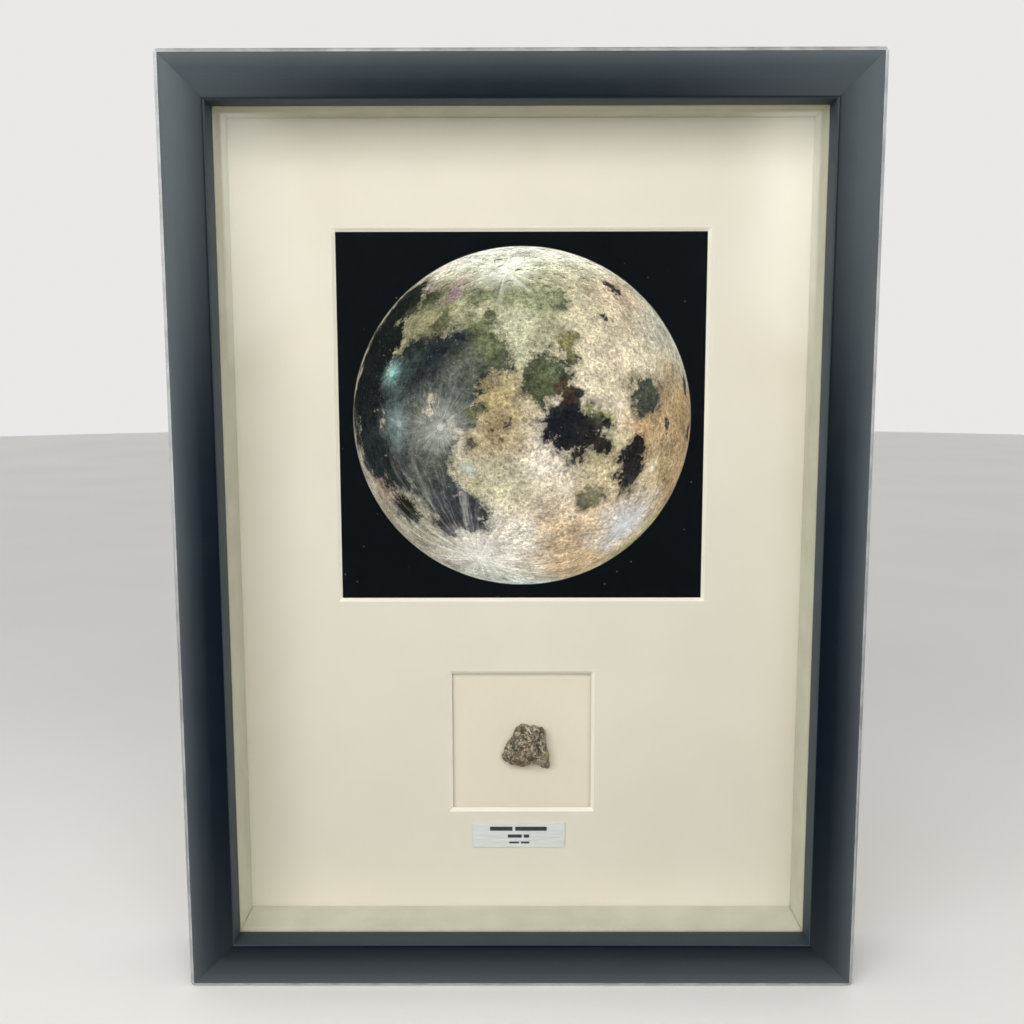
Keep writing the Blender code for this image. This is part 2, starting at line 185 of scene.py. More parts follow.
def start_finish(name):
    """A new material, with its node tree, its shader and the output that gives places in metres."""
    material = bpy.data.materials.new(name)
    material.use_nodes = True
    tree = material.node_tree
    return material, tree, tree.nodes["Principled BSDF"], (add(tree, "TexCoord"), "Object")


def roughen(tree, shader, place, size_mm, height_mm, detail=3.0):
    """Gives the shader a fine relief of lumps this wide and this high."""
    lumps = add(tree, "TexNoise", {"Vector": place, "Scale": per_mm(size_mm), "Detail": detail})
    relief = add(tree, "Bump", {"Height": lumps, "Distance": height_mm * MM, "Strength": 1.0})
    connect(tree, shader, {"Normal": relief})


def pushed_about(tree, place, noise_links, reach):
    """Places pushed about by noise, by up to half of this reach each way."""
    swirl = add(tree, "TexNoise", {"Vector": place, **noise_links})
    centred = add(tree, "VectorMath", [(swirl, "Color"), NOISE_MIDDLE], SUBTRACT)
    push = add(tree, "VectorMath", {0: centred, "Scale": reach}, SCALE)
    return add(tree, "VectorMath", [place, push], ADD)


def lacquer_with_painted_sheen():
    """Satin charcoal lacquer sprayed on wood, thinned to grey and then silver towards the outer edge; the
    grey is partly painted reflection.
    """
    material, tree, shader, place = start_finish("satin charcoal lacquer")
    axes = add(tree, "SeparateXYZ", [place])
    across = add(tree, "Math", [(axes, "X")], ABSOLUTE)
    from_side = add(tree, "Math", [HALF_WIDTH, across], SUBTRACT)
    above = add(tree, "Math", [(axes, "Z"), HALF_HEIGHT], SUBTRACT)
    rise = add(tree, "Math", [above], ABSOLUTE)
    from_end = add(tree, "Math", [HALF_HEIGHT, rise], SUBTRACT)
    inward = add(tree, "Math", [from_side, from_end], {"operation": "MINIMUM"})

    # The fade to grey, partly thin spray and partly painted reflection, wanders unevenly by about a
    # millimetre.
    drift = add(tree, "TexNoise", {"Vector": place, "Scale": per_mm(35.0), "Detail": 2.0})
    wander = add(tree, "MapRange", {"Value": drift, "To Min": -FADE_WANDER, "To Max": FADE_WANDER})
    wandering = add(tree, "Math", [inward, wander], ADD)
    share = add(tree, "MapRange", {"Value": wandering, "From Min": 0.0, "From Max": FACE_WIDTH})
    # Painted reflection: the lighter grey of the outer face stands in for the room's light that it would
    # mirror.
    fade = add(tree, "ValToRGB", [share], {"stops": [
        (0.0, "#4f5356"), (0.16, "#3c4246"), (0.38, "#262d33"), (0.66, "#0f171f"), (1.0, "#080f17"),
    ]})
    # Spray speckle, drawn at 0.5 mm, coarser than the real mist
    mist = add(tree, "TexNoise", {"Vector": place, "Scale": per_mm(0.5), "Detail": 2.0, "Roughness": 0.7})
    speckle = add(tree, "MapRange", {
        "Value": mist, "From Min": 0.3, "From Max": 0.7, "To Min": 0.93, "To Max": 1.07,
    })
    coat = add(tree, "VectorMath", {0: fade, "Scale": speckle}, SCALE)

    # The silver edge is the outermost stretch of the front, and the back face is bare pine.
    near_edge = add(tree, "Math", [inward, SILVER_REACH], {"operation": "LESS_THAN"})
    in_front = add(tree, "Math", [(axes, "Y"), FRONT + FACE_FALL + SILVER_EDGE], {"operation": "LESS_THAN"})
    silver = add(tree, "Math", [near_edge, in_front], MULTIPLY)
    worn = add(tree, "TexNoise", {"Vector": place, "Scale": per_mm(9.0), "Detail": 5.0})
    leaf = add(tree, "ValToRGB", [worn], {"stops": [(0.35, "#959799"), (0.62, "#b5b7b9")]})
    finished = add(tree, "MixRGB", [silver, coat, leaf])
    # The lip's wall is painted a lighter grey: painted light, standing in for the light that falls on it.
    on_lip = add(tree, "Math", [inward, FACE_WIDTH - LIP_EDGE], GREATER_THAN)
    lipped = add(tree, "MixRGB", [on_lip, finished, "#2f3942"])
    back_face = add(tree, "Math", [(axes, "Y"), BACK - BACK_ARRIS], GREATER_THAN)
    stretched = add(tree, "Mapping", {"Vector": place, "Scale": (per_mm(4.0), per_mm(4.0), per_mm(60.0))})
    grain = add(tree, "TexNoise", {"Vector": stretched, "Scale": 1.0, "Detail": 6.0, "Distortion": 0.6})
    pine = add(tree, "ValToRGB", [grain], {"stops": [(0.3, "#8a6a45"), (0.7, "#c5a475")]})
    surface = add(tree, "MixRGB", [back_face, lipped, pine])
    gloss = add(tree, "MapRange", {"Value": worn, "To Min": 0.18, "To Max": 0.26})
    dull = add(tree, "MixRGB", [back_face, gloss, PINE_DULLNESS])
    metal = add(tree, "Math", [silver, 0.2], MULTIPLY)
    flat = add(tree, "Math", [on_lip, 0.35], MULTIPLY)
    roughness = add(tree, "Math", [dull, flat], ADD)
    # The charcoal has a blue cast that also shows in its sheen.
    connect(tree, shader, {
        "Base Color": surface, "Roughness": roughness, "Metallic": metal, "IOR": 1.5,
        "Specular Tint": (0.84, 0.95, 1.0, 1.0),
    })
    roughen(tree, shader, place, 1.2, 0.0015)
    return material


def picture_glass():
    """Clear float glass, cut and seamed. Its faces are smooth, and it has hardly any tint."""
    material, tree, shader, place = start_finish("clear float glass")
    # A trace of haze left by wiping, in patches about 40 mm wide
    haze = add(tree, "TexNoise", {"Vector": place, "Scale": per_mm(40.0), "Detail": 4.0})
    film = add(tree, "MapRange", {
        "Value": haze, "From Min": 0.45, "From Max": 0.75, "To Min": 0.0, "To Max": 0.02,
    })
    tint = add(tree, "ValToRGB", [haze], {"stops": [(0.2, "#fbfdfc"), (0.8, "#ffffff")]})
    connect(tree, shader, {"Base Color": tint, "Roughness": film, "Transmission Weight": 1.0, "IOR": 1.5})
    return material


def paper_face(name, light, dark, core):
    """Buffered cotton board: matte cream face paper with fine fibres, over a bright core where it is cut."""
    material, tree, shader, place = start_finish(name)
    # Fibre flecks, drawn at 0.7 mm because the real ones are about a tenth of that
    fibres = add(tree, "TexNoise", {"Vector": place, "Scale": per_mm(0.7), "Detail": 4.0, "Roughness": 0.7})
    clouds = add(tree, "TexNoise", {"Vector": place, "Scale": per_mm(45.0), "Detail": 2.0})
    mixed = add(tree, "MixRGB", [0.35, fibres, clouds])
    face = add(tree, "ValToRGB", [mixed], {"stops": [(0.36, dark), (0.64, light)]})
    facing = add(tree, "NewGeometry")
    normal = add(tree, "SeparateXYZ", [(facing, "True Normal")])
    flatness = add(tree, "Math", [(normal, "Y")], ABSOLUTE)
    is_face = add(tree, "Math", [flatness, 0.85], GREATER_THAN)
    surface = add(tree, "MixRGB", [is_face, core, face])
    connect(tree, shader, {"Base Color": surface, "Roughness": 0.9, "Specular IOR Level": 0.3})
    roughen(tree, shader, place, 0.5, 0.012)
    return material


def cut_foam_board():
    """Foam board strip faced in cream paper, which is matte, and rubbed a little where hands placed it."""
    material, tree, shader, place = start_finish("cream faced foam board")
    rubs = add(tree, "TexNoise", {"Vector": place, "Scale": per_mm(14.0), "Detail": 5.0})
    fibres = add(tree, "TexNoise", {"Vector": place, "Scale": per_mm(0.8), "Detail": 3.0})
    mixed = add(tree, "MixRGB", [0.5, fibres, rubs])
    face = add(tree, "ValToRGB", [mixed], {"stops": [(0.36, "#cacab9"), (0.64, "#dadac9")]})
    connect(tree, shader, {"Base Color": face, "Roughness": 0.88, "Specular IOR Level": 0.3})
    roughen(tree, shader, place, 0.6, 0.015)
    return material


def moon_direction(latitude, longitude):
    """Where a place on the Moon is on the picture's unit ball: right, up and towards the viewer."""
    lat, lon = math.radians(latitude), math.radians(longitude - MOON_VIEW_LONGITUDE)
    tilt = math.radians(MOON_VIEW_LATITUDE)
    return Vector(
        (
            math.cos(lat) * math.sin(lon),
            math.cos(tilt) * math.sin(lat) - math.sin(tilt) * math.cos(lat) * math.cos(lon),
            math.sin(tilt) * math.sin(lat) + math.cos(tilt) * math.cos(lat) * math.cos(lon),
        )
    )


# Colour drifts of the bright highlands: latitude, longitude, half width in degrees, colour
HIGHLAND_TINTS = (
    (82, -10, 29, "#fbfbf4"), (60, 15, 24, "#c9cba4"), (50, 33, 13, "#b9bd9a"), (53, -38, 15, "#a6a584"),
    (43, -43, 10, "#aba67f"), (43, 4, 9, "#c8c9ad"), (52, 62, 16, "#d3c9ac"), (47, 82, 12, "#d5bca0"),
    (27, 50, 24, "#e9dcc0"), (25, 92, 18, "#d6d9cb"), (5, 80, 20, "#b39a74"), (7, 57, 9, "#cfae84"),
    (-20, 76, 22, "#b39c78"), (-4, 14, 22, "#eee0cb"), (-8, 17, 12, "#f2e8da"), (-2, 37, 9, "#c6bf95"),
    (-16, 44, 10, "#b7ae8c"), (-12, -2, 15, "#cfc9a8"), (-38, 38, 26, "#ead2b0"), (-56, 30, 22, "#dcbf98"),
    (-42, -12, 17, "#fbf7ec"), (-34, 2, 11, "#fdf6ea"), (-60, -30, 20, "#d9d9cf"),
    (-36, -46, 20, "#a8a291"), (-16, -50, 8, "#b09a86"), (-14, -80, 16, "#b3ada2"), (20, 0, 11, "#bfae80"),
    (9, 1, 8, "#b09c78"), (-30, 56, 11, "#dfdede"), (-74, 10, 14, "#d9e6df"), (-45, 88, 13, "#aeac7c"),
    (-6, -30, 12, "#8a8f8a"), (57, -43, 3.6, "#8a6f80"), (64, -46, 3.0, "#c0a6a4"),
)

# Lava colours of the dark plains: latitude, longitude, half width in degrees, colour
PLAIN_TINTS = (
    (60, -7, 14, "#7b8062"), (59, 20, 14, "#83886a"), (54, -45, 12, "#85866a"), (44, -10, 13, "#63684d"),
    (34, -27, 10, "#262d30"), (38, -24, 7, "#242b30"), (31, -14, 8, "#565c50"), (20, -20, 10, "#565c58"),
    (45.5, -33.5, 4.5, "#5b5d43"), (48, -74, 14, "#20251f"), (26, -64, 20, "#171b1b"),
    (8, -56, 16, "#1a1e20"), (6, -38, 9, "#62706f"), (24, -44, 7, "#485452"), (9, -24, 11, "#646760"),
    (14.5, -8.3, 4.5, "#6b6c52"), (-6, -50, 13, "#22282a"), (-8, -26, 9, "#4e524c"),
    (-20, -14, 11, "#42454a"), (-28, -20, 7, "#3c3c40"), (-24, -39, 8, "#20221c"), (5.5, -11, 5, "#2d2924"),
    (9, 1, 6, "#5e523f"), (28, 18, 9, "#555a42"), (24, 26, 4, "#44382c"), (30, 21, 3.2, "#666e56"),
    (40, 30, 6, "#7f7b52"), (9, 28, 12, "#1b1c24"), (4, 38, 9, "#2a2724"), (14.6, 43, 3, "#a5a663"),
    (17, 35, 4, "#707a55"), (17, 59, 9, "#474b42"), (1, 53, 6, "#1c1d1e"), (-7, 50, 9, "#252425"),
    (-15, 35, 7, "#6f6a52"), (51, -57.5, 3, "#3a3f2c"),
)

# Where the dark plains lie: latitude, longitude, half width in degrees
PLAINS = (
    (59, -20, 4.0), (61, -7, 4.2), (62, 8, 4.2), (60, 20, 4.2), (57, 31, 4.0), (53, -50, 5.0),
    (36, -12, 12.0), (32, -24, 12.0), (24, -16, 9.0), (45.5, -33.5, 4.4), (51.6, -9.4, 1.8),
    (51, -57.5, 2.0), (46, -72, 10.0), (30, -66, 14.0), (12, -62, 16.0), (18, -44, 9.0), (-4, -54, 12.0),
    (28, -38, 10.0), (20, -34, 9.0), (12, -40, 9.0), (3, -36, 12.0), (10, -26, 9.0), (16, -14, 6.0),
    (3, -22, 7.0), (-8, -26, 8.0), (-14, -20, 7.5), (-21, -13, 7.5), (-28, -20, 5.0), (-24, -39, 5.8),
    (-8, -40, 7.0), (-5.5, -68.5, 3.0), (14.5, -8.3, 3.6), (5.2, -15, 2.0), (6, -8, 2.2), (10.5, -1.5, 1.3),
    (7.5, 2.5, 1.4), (14, 5, 1.7), (28, 18.5, 8.6), (22, 26, 4.0), (40, 30, 3.4), (35, 31, 2.4),
    (9, 29, 9.0), (12, 22, 5.5), (17, 27, 3.6), (4, 37, 4.0), (12, 38, 4.2), (17, 59.5, 6.7), (1, 53, 4.0),
    (-6, 50, 6.2), (-12, 49, 3.6), (-15.3, 34.8, 4.4), (47.5, 55, 1.3), (50, 17, 1.2), (56, 80, 2.4),
    (14, 91, 2.6), (-2, 90, 2.4), (5, 69, 1.4),
)

# Mountain ranges that part the plains: latitude, longitude, half width in degrees
RANGES = (
    (46, 0, 3.0), (43, 5, 3.4), (39, 8.5, 3.2), (34, 8, 2.6), (28, 5.5, 3.2), (24, 2.5, 4.0), (20, -1, 4.2),
    (17, 3, 3.4), (18, 10, 3.6), (14.5, -4, 3.0), (47, -38, 2.6), (14, -25, 2.0),
)

# Craters with bright rays: latitude, longitude, reach of the rays and of the apron in degrees, fineness of
# the streaks, strength, colour
RAY_CRATERS = (
    (-43.3, -11.2, 64, 20, 9.0, 0.75, "#f6f3ea"),
    (9.6, -20.1, 22, 14, 9.0, 0.75, "#c9ccc6"),
    (8.1, -38.0, 12, 9, 7.0, 0.45, "#a9bcbb"),
    (23.7, -47.5, 8, 6, 6.0, 0.7, "#9fd6d0"),
    (-4, -9, 6, 5, 6.0, 0.5, "#c9dbd6"),
    (16.1, 46.8, 14, 6, 7.0, 0.6, "#f3ead8"),
    (-30, 55, 24, 11, 9.0, 0.75, "#e2e3e8"),
    (73.4, -10.1, 26, 14, 7.0, 0.8, "#fdfdf8"),
    (-8.9, 60.9, 9, 4, 6.0, 0.6, "#ece2d0"),
    (-11, 25, 9, 4, 6.0, 0.4, "#f0e9da"),
)


def paint_patches(tree, ball, paint, patches, softness):
    """Lays each patch over the paint below it, with edges as soft as the given share of its width."""
    for latitude, longitude, half_width, shade in patches:
        reach = chord(half_width)
        middle = moon_direction(latitude, longitude)
        distance = add(tree, "VectorMath", [ball, middle], {"operation": "DISTANCE"})
        cover = add(tree, "MapRange", {
            "Value": (distance, "Value"), "From Min": reach * (1.0 + softness),
            "From Max": reach * (1.0 - softness),
        }, SMOOTH)
        paint = add(tree, "MixRGB", [cover, paint, shade])
    return paint


def chord(degrees):
    """The straight distance on the unit ball between two places this far apart."""
    return 2.0 * math.sin(math.radians(degrees) / 2.0)


def nearest_of(tree, ball, patches):
    """How far it is to the nearest patch, as a share of that patch's half width."""
    nearest = None
    for latitude, longitude, half_width in patches:
        middle = moon_direction(latitude, longitude)
        distance = add(tree, "VectorMath", [ball, middle], {"operation": "DISTANCE"})
        share = add(tree, "Math", [(distance, "Value"), chord(half_width)], {"operation": "DIVIDE"})
        if nearest is None:
            nearest = share
        else:
            nearest = add(tree, "Math", [nearest, share, PATCH_BLEND], {"operation": "SMOOTH_MIN"})
    return nearest


def plains_cover(tree, ball):
    """One where the dark plains lie, nought on the highlands, with ragged shores and islands."""
    bent = pushed_about(tree, ball, {"Scale": 8.0, "Detail": 4.0, "Roughness": 0.65}, 0.22)
    coast = add(tree, "TexNoise", {"Vector": ball, "Scale": 13.0, "Detail": 6.0, "Roughness": 0.8})
    bays = add(tree, "MapRange", {"Value": coast, "To Min": -1.25, "To Max": 1.25}, {"clamp": False})
    shore = add(tree, "Math", [nearest_of(tree, bent, PLAINS), bays], ADD)
    solid = add(tree, "MapRange", {"Value": shore, "From Min": 1.10, "From Max": 0.94}, SMOOTH)
    # Thin lava reaches some way into the highlands in patches.
    outer = add(tree, "MapRange", {
        "Value": shore, "From Min": 1.6, "From Max": 0.95, "To Max": 0.6,
    }, SMOOTH)
    cover = add(tree, "Math", [solid, outer], MAXIMUM)
    ridge = add(tree, "Math", [nearest_of(tree, bent, RANGES), bays], SUBTRACT)
    off_ridge = add(tree, "MapRange", {
        "Value": ridge, "From Min": 0.75, "From Max": 1.25, "To Min": 0.12,
    }, SMOOTH)
    return add(tree, "Math", [cover, off_ridge], MULTIPLY)


def paint_rays(tree, ball, paint, crater):
    """A small bright crater in a ragged apron, with streaks that keep their heading and fade far out."""
    latitude, longitude, ray_reach, apron_reach, streak_scale, strength, shade = crater
    middle = moon_direction(latitude, longitude)
    offset = add(tree, "VectorMath", [ball, middle], SUBTRACT)
    distance = add(tree, "VectorMath", [offset], {"operation": "LENGTH"})
    # Over the ground the same heading gives the same streak all the way out.
    outward = add(tree, "VectorMath", [offset, middle], {"operation": "PROJECT"})
    along_ground = add(tree, "VectorMath", [offset, outward], SUBTRACT)
    heading = add(tree, "VectorMath", [along_ground], {"operation": "NORMALIZE"})
    drift = add(tree, "VectorMath", {0: offset, "Scale": 0.25}, SCALE)
    drifting = add(tree, "VectorMath", [heading, drift], ADD)
    streaks = add(tree, "TexNoise", {
        "Vector": drifting, "Scale": streak_scale, "Detail": 4.0, "Roughness": 0.7,
    })
    sharp = add(tree, "MapRange", {"Value": streaks, "From Min": 0.48, "From Max": 0.66}, SMOOTH)
    gaps = add(tree, "TexNoise", {"Vector": ball, "Scale": 16.0, "Detail": 5.0, "Roughness": 0.75})
    patchy = add(tree, "MapRange", {"Value": gaps, "From Min": 0.36, "From Max": 0.62, "To Min": 0.2})
    broken = add(tree, "Math", [sharp, patchy], MULTIPLY)
    fade = add(tree, "MapRange", {
        "Value": (distance, "Value"), "From Min": chord(ray_reach), "From Max": 0.0,
    })
    falling = add(tree, "Math", [fade, 1.5], {"operation": "POWER"})
    rays = add(tree, "Math", [broken, falling], MULTIPLY)
    apron = add(tree, "MapRange", {
        "Value": (distance, "Value"), "From Min": chord(apron_reach), "From Max": 0.0,
    }, SMOOTH)
    frayed = add(tree, "Math", [apron, patchy], MULTIPLY)
    bowl = add(tree, "MapRange", {
        "Value": (distance, "Value"), "From Min": chord(1.5), "From Max": chord(0.8), "To Max": 1.0,
    }, SMOOTH)
    # Between the streaks the ground stays a little darker.
    furrow = add(tree, "MapRange", {
        "Value": streaks, "From Min": 0.38, "From Max": 0.6, "To Min": -0.36, "To Max": 0.14,
    })
    furrowed = add(tree, "Math", [furrow, falling, 1.0], {"operation": "MULTIPLY_ADD"})
    paint = add(tree, "VectorMath", {0: paint, "Scale": furrowed}, SCALE)
    around = add(tree, "Math", [rays, frayed], ADD)
    bright = add(tree, "Math", [around, bowl], ADD)
    weight = add(tree, "Math", [bright, strength], {"operation": "MULTIPLY", "use_clamp": True})
    return add(tree, "MixRGB", [weight, paint, shade])


def round_field(tree, ball, cells, channel, left_out, widest):
    """One round place in each cell of a field: how far it is to its middle, and its own radius. The share of
    places left out have no radius."""
    field = add(tree, "TexVoronoi", {"Vector": ball, "Scale": cells})
    chance = add(tree, "SeparateColor", [(field, "Color")])
    radius = add(tree, "MapRange", {
        "Value": (chance, channel), "From Min": left_out, "To Min": 0.0, "To Max": widest,
    })
    return (field, "Distance"), radius


def crater_shading(tree, ball, cells, lit_from):
    """Lit and shaded walls of round craters, each of its own size, in a field of this many cells across."""
    heights = []
    towards_light = add(tree, "VectorMath", [ball, lit_from / cells * SHADOW_SHIFT], ADD)
    for place in (ball, towards_light):
        off_middle, radius = round_field(tree, place, cells, "Green", 0.2, 0.40)
        depth = add(tree, "Math", [off_middle, radius], SUBTRACT)
        bowl = add(tree, "MapRange", {"Value": depth, "From Min": -0.10, "From Max": 0.02}, SMOOTH)
        heights.append(bowl)
    return add(tree, "Math", [heights[1], heights[0]], SUBTRACT)


def crater_rims(tree, ball, cells):
    """Pale rims round darker floors, for round craters of many sizes in a field of this many cells across."""
    off_middle, radius = round_field(tree, ball, cells, "Blue", 0.3, 0.42)
    beyond = add(tree, "Math", [off_middle, radius], SUBTRACT)
    off_rim = add(tree, "Math", [beyond], ABSOLUTE)
    rim = add(tree, "MapRange", {"Value": off_rim, "From Min": 0.10, "From Max": 0.0}, SMOOTH)
    floor = add(tree, "MapRange", {
        "Value": beyond, "From Min": -0.02, "From Max": -0.14, "To Max": 0.7,
    }, SMOOTH)
    return add(tree, "Math", [rim, floor], SUBTRACT)


def bright_dots(tree, ball, paint, cells, size, strength, shade):
    """Small fresh craters: a bright dot in about half of the cells of this field, each of its own size."""
    off_middle, radius = round_field(tree, ball, cells, "Red", 0.45, size)
    depth = add(tree, "Math", [radius, off_middle], SUBTRACT)
    dot = add(tree, "MapRange", {"Value": depth, "From Min": 0.0, "From Max": size * 0.5}, SMOOTH)
    weight = add(tree, "Math", [dot, strength], MULTIPLY)
    return add(tree, "MixRGB", [weight, paint, shade])


def moon_photo_print():
    """Satin photo paper, printed with a full Moon in stretched colours on black. The Moon is drawn from the
    places of its plains and ray craters."""
    material, tree, shader, place = start_finish("satin photo print of the Moon")
    middle = Vector((MOON_ACROSS, 0.0, HALF_HEIGHT + MOON_RISE))
    centred = add(tree, "VectorMath", [place, middle], SUBTRACT)
    scaled = add(tree, "VectorMath", {0: centred, "Scale": 1.0 / MOON_RADIUS}, SCALE)
    axes = add(tree, "SeparateXYZ", [scaled])
    flat = add(tree, "CombineXYZ", [(axes, "X"), (axes, "Z"), 0.0])
    off_middle = add(tree, "VectorMath", [flat], {"operation": "LENGTH"})
    squared = add(tree, "Math", [(off_middle, "Value"), 2.0], {"operation": "POWER"})
    left_over = add(tree, "Math", [1.0, squared], SUBTRACT)
    kept = add(tree, "Math", [left_over, 0.0], MAXIMUM)
    towards = add(tree, "Math", [kept], {"operation": "SQRT"})
    ball = add(tree, "CombineXYZ", [(axes, "X"), (axes, "Z"), towards])

    # The colours drift into each other, so the ball is pushed about a little before they are laid on it.
    drifted = pushed_about(tree, ball, {"Scale": 6.0, "Detail": 5.0, "Roughness": 0.6}, 0.35)

    highlands = paint_patches(tree, drifted, "#e0d4b8", HIGHLAND_TINTS, 0.85)
    clouds = add(tree, "TexNoise", {"Vector": ball, "Scale": 7.0, "Detail": 3.0, "Roughness": 0.6})
    cloudy = add(tree, "MapRange", {
        "Value": clouds, "From Min": 0.36, "From Max": 0.64, "To Min": 0.62, "To Max": 1.14,
    })
    grit = add(tree, "TexNoise", {"Vector": ball, "Scale": 42.0, "Detail": 3.0, "Roughness": 0.9})
    gritty = add(tree, "MapRange", {
        "Value": grit, "From Min": 0.38, "From Max": 0.62, "To Min": 0.55, "To Max": 1.28,
    })
    mottled = add(tree, "Math", [cloudy, gritty], MULTIPLY)
    rims = crater_rims(tree, ball, 13.0)
    for cells in (23.0, 40.0):
        finer_rims = crater_rims(tree, ball, cells)
        rims = add(tree, "Math", [rims, finer_rims], ADD)
    rim_light = add(tree, "Math", [rims, 0.26, 1.0], {"operation": "MULTIPLY_ADD"})
    relieved = add(tree, "Math", [mottled, rim_light], MULTIPLY)
    rugged = add(tree, "VectorMath", {0: highlands, "Scale": relieved}, SCALE)

    lava = paint_patches(tree, drifted, "#33393a", PLAIN_TINTS, 0.5)
    flow = add(tree, "TexNoise", {"Vector": ball, "Scale": 11.0, "Detail": 5.0, "Roughness": 0.8})
    flows = add(tree, "MapRange", {
        "Value": flow, "From Min": 0.38, "From Max": 0.66, "To Min": 0.6, "To Max": 1.8,
    })
    speckled = add(tree, "Math", [flows, gritty], MULTIPLY)
    flowed = add(tree, "VectorMath", {0: lava, "Scale": speckled}, SCALE)
    on_plains = plains_cover(tree, ball)
    paint = add(tree, "MixRGB", [on_plains, rugged, flowed])
    for crater in RAY_CRATERS:
        paint = paint_rays(tree, ball, paint, crater)
    for cells, size, strength in ((14.0, 0.12, 0.55), (30.0, 0.17, 0.7), (60.0, 0.24, 0.6)):
        shown = add(tree, "MapRange", {"Value": on_plains, "To Min": strength, "To Max": strength * 0.3})
        paint = bright_dots(tree, ball, paint, cells, size, shown, "#f4efe2")

    # Older craters show by their lit and shaded sides, mostly towards the north, where the light is low.
    lit_from = Vector((0.35, -0.45, 0.75))
    relief = crater_shading(tree, ball, 9.0, lit_from)
    for cells in (17.0, 31.0, 55.0):
        finer = crater_shading(tree, ball, cells, lit_from)
        relief = add(tree, "Math", [relief, finer], ADD)
    northness = add(tree, "MapRange", {
        "Value": (axes, "Z"), "From Min": 0.6, "From Max": 0.97, "To Min": 0.35, "To Max": 1.3,
    }, SMOOTH)
    rough = add(tree, "Math", [relief, northness], MULTIPLY)
    calm = add(tree, "MapRange", {"Value": on_plains, "To Min": 1.0, "To Max": 0.35})
    shading = add(tree, "Math", [rough, calm], MULTIPLY)
    lighting = add(tree, "Math", [1.0, shading], ADD)
    limb = add(tree, "MapRange", {
        "Value": (off_middle, "Value"), "From Min": 1.0, "From Max": 0.92, "To Min": 0.9, "To Max": 1.0,
    }, SMOOTH)
    # The cap round the north pole is the whitest ground.
    cap = add(tree, "MapRange", {
        "Value": (axes, "Z"), "From Min": 0.76, "From Max": 0.93, "To Min": 1.0, "To Max": 1.3,
    }, SMOOTH)
    capped = add(tree, "Math", [lighting, cap], MULTIPLY)
    light = add(tree, "Math", [capped, limb], MULTIPLY)
    face = add(tree, "VectorMath", {0: paint, "Scale": light}, SCALE)

    # Black sky with a few stars
    stars = add(tree, "TexVoronoi", {"Vector": scaled, "Scale": 9.0})
    star = add(tree, "MapRange", {"Value": (stars, "Distance"), "From Min": 0.045, "From Max": 0.02})
    sky = add(tree, "MixRGB", [star, "#0b1014", "#767b84"])
    on_disc = add(tree, "MapRange", {
        "Value": (off_middle, "Value"), "From Min": 1.0025, "From Max": 0.9975,
    })
    ink = add(tree, "MixRGB", [on_disc, sky, face])
    connect(tree, shader, {"Base Color": ink, "Roughness": 0.45, "Specular IOR Level": 0.1})
    roughen(tree, shader, place, 0.6, 0.003)
    return material


def broken_breccia():
    """Feldspathic breccia, broken and not polished: grey-brown ground-up rock round pale and dark fragments.
    It looks grainy and matte, with a dull glint only on the crystal faces."""
    material, tree, shader, place = start_finish("broken lunar breccia")
    bent = pushed_about(tree, place, {"Scale": per_mm(0.7), "Detail": 4.0}, 0.5 * MM)
    ground = add(tree, "TexNoise", {
        "Vector": place, "Scale": per_mm(1.1), "Detail": 5.0, "Roughness": 0.78,
    })
    # Lumps about 1.2 mm across, made of angular grains of 0.45 mm, each with its own shade, in a finer powder
    lumps = add(tree, "TexVoronoi", {"Vector": bent, "Scale": per_mm(1.2)})
    lump = add(tree, "SeparateColor", [(lumps, "Color")])
    grains = add(tree, "TexVoronoi", {"Vector": bent, "Scale": per_mm(0.45)})
    grain = add(tree, "SeparateColor", [(grains, "Color")])
    coarse = add(tree, "MixRGB", [0.5, (lump, "Green"), (grain, "Red")])
    grainy = add(tree, "MixRGB", [0.5, coarse, ground])
    matrix = add(tree, "ValToRGB", [grainy], {"stops": [
        (0.28, "#332e26"), (0.43, "#675f50"), (0.55, "#8d8572"), (0.72, "#cfc8b5"),
    ]})
    tint = add(tree, "Attribute", settings={"attribute_name": "tint"})
    tinted = add(tree, "MixRGB", [1.0, matrix, (tint, "Color")], {"blend_type": "MULTIPLY"})
    # Larger fragments stand in it here and there, with frayed edges.
    fragments = add(tree, "TexVoronoi", {"Vector": bent, "Scale": per_mm(1.7)})
    kind = add(tree, "SeparateColor", [(fragments, "Color")])
    frayed = add(tree, "MixRGB", [0.5, (fragments, "Distance"), ground])
    inside = add(tree, "MapRange", {"Value": frayed, "From Min": 0.44, "From Max": 0.34, "To Max": 0.55})
    pale = add(tree, "Math", [(kind, "Red"), 0.78], GREATER_THAN)
    pale_fragment = add(tree, "Math", [inside, pale], MULTIPLY)
    dark = add(tree, "Math", [(kind, "Red"), 0.25], {"operation": "LESS_THAN"})
    dark_fragment = add(tree, "Math", [inside, dark], MULTIPLY)
    with_pale = add(tree, "MixRGB", [pale_fragment, tinted, "#c9c2ad"])
    with_dark = add(tree, "MixRGB", [dark_fragment, with_pale, "#38342b"])
    vein = add(tree, "Attribute", settings={"attribute_name": "vein"})
    veined = add(tree, "MixRGB", [(vein, "Fac"), with_dark, "#dad5c2"])
    # The rock is painted darker along the hollows: painted shade in its groove and pits.
    hollow = add(tree, "Attribute", settings={"attribute_name": "hollow"})
    shaded_in_hollows = add(tree, "MixRGB", [(hollow, "Fac"), veined, "#29251d"])
    sheen = add(tree, "MapRange", {"Value": ground, "To Min": 0.6, "To Max": 0.95})
    connect(tree, shader, {"Base Color": shaded_in_hollows, "Roughness": sheen, "IOR": 1.6, "Specular IOR Level": 0.4})
    roughen(tree, shader, place, 0.5, 0.05, 4.0)
    return material


